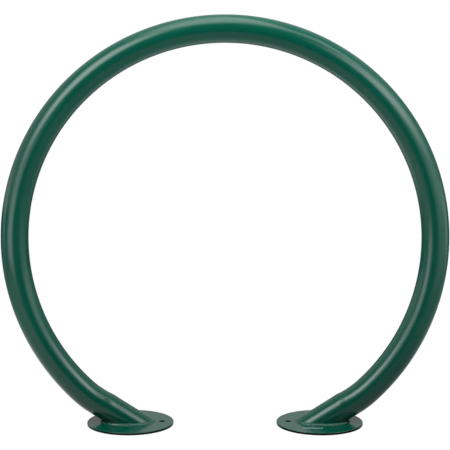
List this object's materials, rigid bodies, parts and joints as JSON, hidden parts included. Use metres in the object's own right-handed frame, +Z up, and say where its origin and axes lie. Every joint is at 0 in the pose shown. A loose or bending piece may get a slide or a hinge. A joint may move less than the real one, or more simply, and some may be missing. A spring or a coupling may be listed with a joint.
{
  "type": "hoop bicycle rack",
  "caption": "Surface-mount hoop bicycle rack: a round steel tube bent to an open circle, its ends welded to round base plates with anchor holes.",
  "frame": {"origin": "on the ground, midway between the two base plates", "axes": "+X across the hoop from the left plate to the right plate, +Y through the hoop from front to back, +Z up"},
  "size_m": [0.9746, 0.1904, 0.8948],
  "materials": {
    "powder_coat": "gloss dark green powder coat"
  },
  "bodies": {
    "root": {"hoop_tube": "powder_coat", "left_base_plate": "powder_coat", "right_base_plate": "powder_coat", "left_weld_bead": "powder_coat", "right_weld_bead": "powder_coat"}
  },
  "joints": []
}
